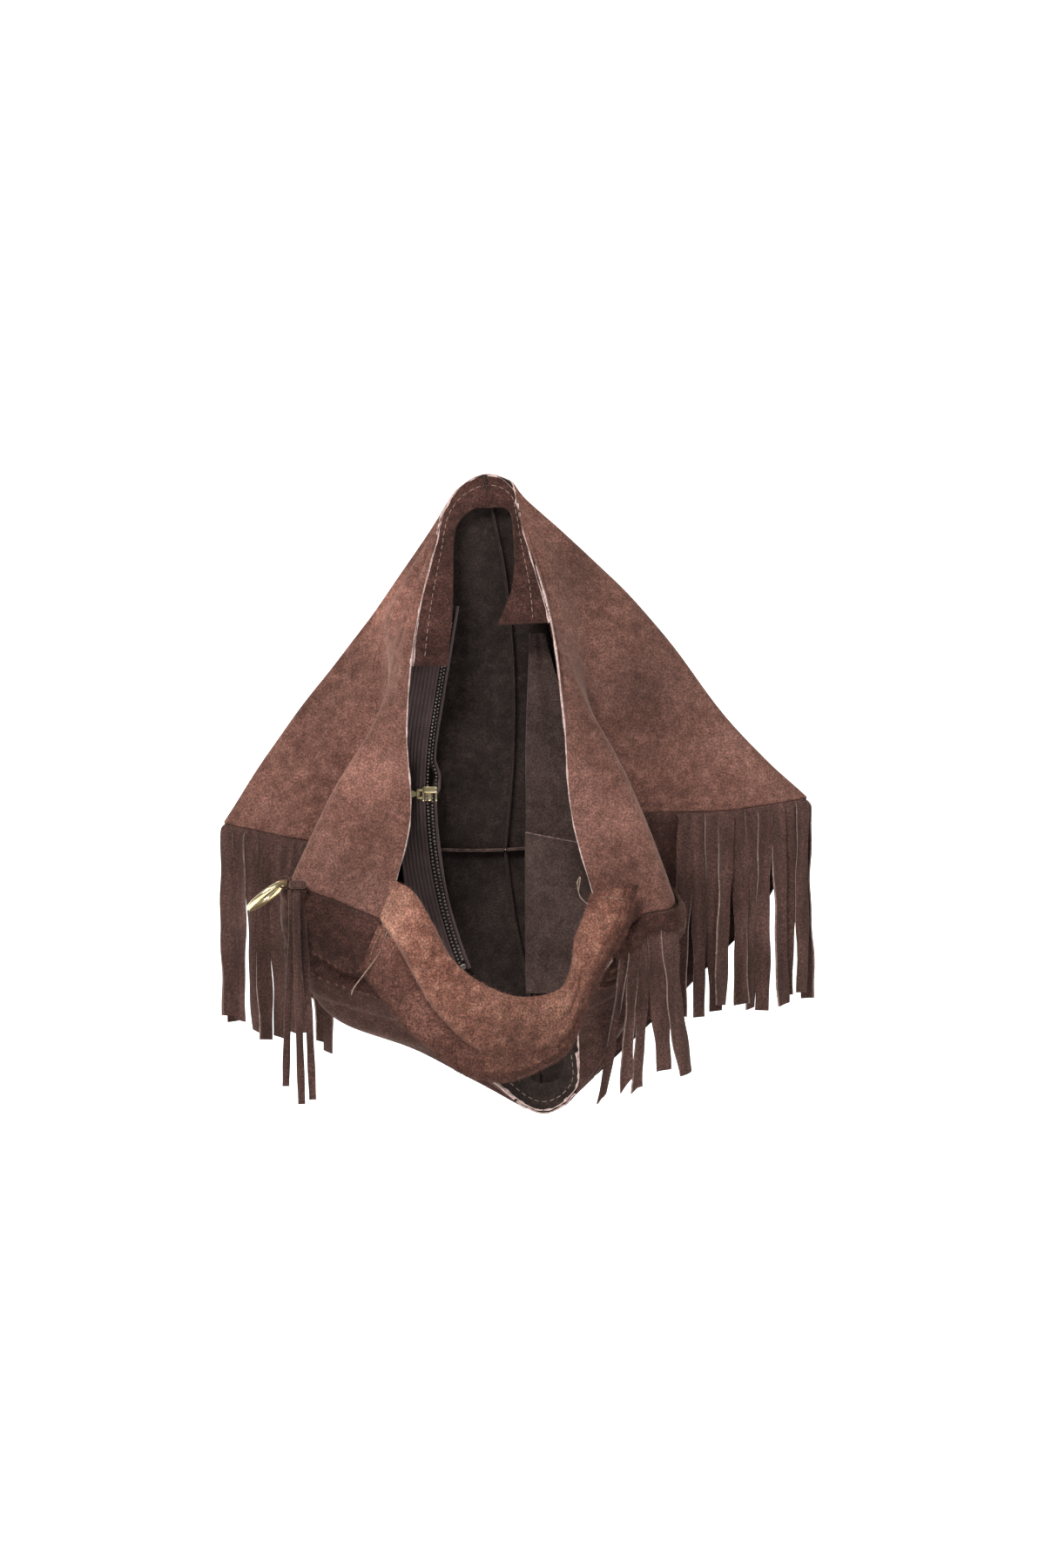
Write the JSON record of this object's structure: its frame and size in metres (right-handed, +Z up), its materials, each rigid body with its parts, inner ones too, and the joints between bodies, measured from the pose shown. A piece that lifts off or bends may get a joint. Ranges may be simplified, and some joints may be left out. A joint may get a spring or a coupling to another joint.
{
  "type": "fringed suede shoulder bag",
  "caption": "Soft suede shoulder bag with folded side corners, a band handle, fringed side seams, a hanging metal zip with a slider, an inner pocket and a laced ring, shown hung by its rim.",
  "frame": {"origin": "the hang point, in the notch at the top of the rear rim", "axes": "+Z up as the bag hangs, +X to the right of someone who faces it, -Y towards them"},
  "size_m": [0.3163, 0.1185, 0.3388],
  "materials": {
    "suede": "napped suede with raw cut edges",
    "suede_rough": "rough flesh side of the same suede",
    "suede_handle": "worn, slightly lighter suede",
    "zip_tape": "woven ribbed tape",
    "zip_metal": "darkened metal teeth",
    "gold": "polished pale gold plating"
  },
  "bodies": {
    "bag": {"rear_left_panel": "suede", "rear_right_panel": "suede", "front_left_panel": "suede", "front_right_panel": "suede", "rear_facing": "suede_rough", "front_facing": "suede_rough", "handle": "suede_handle", "fringe_left": "suede", "fringe_right": "suede", "fringe_right_inner": "suede", "zip_row_front": "zip_metal", "zip_row_rear": "zip_metal", "zip_tape_front": "zip_tape", "zip_tape_rear": "zip_tape", "zip_top_stop": "zip_metal", "zip_bottom_stop": "zip_metal", "pocket_back": "suede_rough", "pocket_patch": "suede_rough", "ring_lace": "suede", "lace_tail_left": "suede", "lace_tail_middle": "suede", "lace_tail_right": "suede"},
    "zip_slider": {"zip_slider": "gold"},
    "zip_pull": {"zip_pull": "gold"},
    "ring": {"ring": "gold"}
  },
  "joints": [
    {"name": "zip_slider_travel", "type": "hinge", "parent": "bag", "child": "zip_slider", "pos_m": [0.2215, -0.019, -0.17], "axis": [0, 1, 0], "range_deg": [-19, 13]},
    {"name": "zip_pull_swing", "type": "hinge", "parent": "zip_slider", "child": "zip_pull", "pos_m": [-0.035, -0.0208, -0.17], "axis": [0, 0, 1], "range_deg": [0, 105]},
    {"name": "ring_swing", "type": "hinge", "parent": "bag", "child": "ring", "pos_m": [-0.103, -0.075, -0.216], "axis": [0.0838, 0.9903, -0.1111], "range_deg": [-5, 35]}
  ]
}
